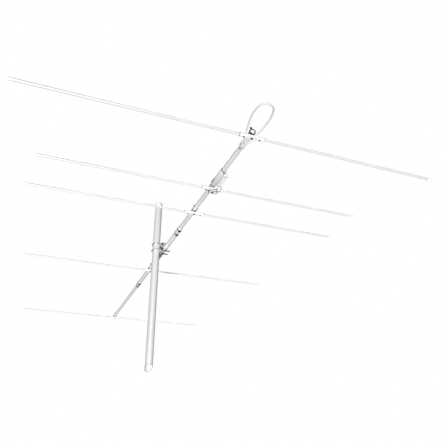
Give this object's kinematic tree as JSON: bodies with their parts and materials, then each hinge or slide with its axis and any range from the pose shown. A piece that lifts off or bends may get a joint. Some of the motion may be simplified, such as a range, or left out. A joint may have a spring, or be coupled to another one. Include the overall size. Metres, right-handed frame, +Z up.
{
  "type": "yagi antenna",
  "caption": "Long telescoping-boom yagi antenna with bracketed rod elements, a folded coax stub loop and a feed box, clamped across the side of a slant-cut mast stub.",
  "frame": {"origin": "on the mast's axis where the slanted cut at its foot crosses it", "axes": "+Z up the mast, +Y along the boom towards the directors, +X along the elements"},
  "size_m": [2.072, 3.583, 1.199],
  "materials": {
    "tube_aluminium": "satin, as drawn",
    "saddle_aluminium": "pressed, satin",
    "white_plastic": "moulded, matt",
    "box_plastic": "moulded, fine texture",
    "clamp_steel": "galvanised",
    "zinc_steel": "zinc plated rod, threads darker",
    "dark_steel": "black coating",
    "black_fasteners": "black oxide, oiled",
    "black_plastic": "moulded, matt",
    "core_plastic": "turned rod, matt",
    "grey_plastic": "moulded, matt",
    "seal_rubber": "matt",
    "coax_jacket": "extruded jacket, slight sheen",
    "lead_insulation": "wire insulation",
    "socket_plating": "nickel plate"
  },
  "bodies": {
    "mast": {"mast_tube": "tube_aluminium", "mast_cap": "white_plastic"},
    "clamp": {"clamp_plate": "clamp_steel", "mast_saddles": "clamp_steel", "mast_ubolts": "zinc_steel", "mast_ubolt_nuts": "dark_steel", "boom_saddles": "clamp_steel", "boom_ubolts": "zinc_steel", "boom_ubolt_nuts": "dark_steel"},
    "boom": {"boom_rear_tube": "tube_aluminium", "boom_middle_tube": "tube_aluminium", "boom_front_tube": "tube_aluminium", "boom_end_ring": "black_plastic", "boom_end_plug": "white_plastic", "boom_nose_plug": "black_plastic", "joint_bands": "black_fasteners", "joint_screws": "black_fasteners", "reflector_tube": "tube_aluminium", "driven_left_tube": "tube_aluminium", "driven_right_tube": "tube_aluminium", "director_1_tube": "tube_aluminium", "director_2_tube": "tube_aluminium", "director_3_tube": "tube_aluminium", "reflector_caps": "white_plastic", "driven_caps": "white_plastic", "director_1_caps": "white_plastic", "director_2_caps": "white_plastic", "director_3_caps": "white_plastic", "reflector_saddle": "saddle_aluminium", "driven_saddle": "saddle_aluminium", "director_1_saddle": "saddle_aluminium", "director_2_saddle": "saddle_aluminium", "director_3_saddle": "saddle_aluminium", "reflector_bracket": "white_plastic", "driven_bracket": "white_plastic", "director_1_bracket": "white_plastic", "director_2_bracket": "white_plastic", "director_3_bracket": "white_plastic", "saddle_bolts": "black_fasteners", "saddle_pads": "black_plastic", "bracket_screws": "black_fasteners", "driven_core": "core_plastic", "feed_cradle": "grey_plastic", "feed_cradle_screws": "black_fasteners", "feed_box_body": "box_plastic", "feed_box_gasket": "seal_rubber", "feed_box_lid": "box_plastic", "feed_box_screws": "black_fasteners", "feed_leads": "lead_insulation", "feed_block": "box_plastic", "feed_socket": "socket_plating", "coax_line": "coax_jacket", "coax_end_cap": "seal_rubber", "coax_clip": "grey_plastic", "coax_tie": "black_plastic"},
    "reflector_wing_nut": {"reflector_wing_nut": "black_fasteners"},
    "driven_wing_nut": {"driven_wing_nut": "black_fasteners"},
    "director_1_wing_nut": {"director_1_wing_nut": "black_fasteners"},
    "director_2_wing_nut": {"director_2_wing_nut": "black_fasteners"},
    "director_3_wing_nut": {"director_3_wing_nut": "black_fasteners"}
  },
  "joints": [
    {"name": "azimuth", "type": "hinge", "parent": "mast", "child": "clamp", "pos_m": [0, 0, 0.816], "axis": [0, 0, 1], "range_deg": [-180, 180]},
    {"name": "polarisation", "type": "hinge", "parent": "clamp", "child": "boom", "pos_m": [0.06, 0, 0.816], "axis": [0, 1, 0], "range_deg": [-90, 90]},
    {"name": "reflector_wing", "type": "hinge", "parent": "boom", "child": "reflector_wing_nut", "pos_m": [0.06, -1.468, 0.8365], "axis": [0, 0, 1], "continuous": true},
    {"name": "driven_wing", "type": "hinge", "parent": "boom", "child": "driven_wing_nut", "pos_m": [0.06, -0.96, 0.8365], "axis": [0, 0, 1], "continuous": true},
    {"name": "director_1_wing", "type": "hinge", "parent": "boom", "child": "director_1_wing_nut", "pos_m": [0.06, -0.652, 0.8365], "axis": [0, 0, 1], "continuous": true},
    {"name": "director_2_wing", "type": "hinge", "parent": "boom", "child": "director_2_wing_nut", "pos_m": [0.06, 0.39, 0.839], "axis": [0, 0, 1], "continuous": true},
    {"name": "director_3_wing", "type": "hinge", "parent": "boom", "child": "director_3_wing_nut", "pos_m": [0.06, 1.885, 0.8365], "axis": [0, 0, 1], "continuous": true}
  ]
}
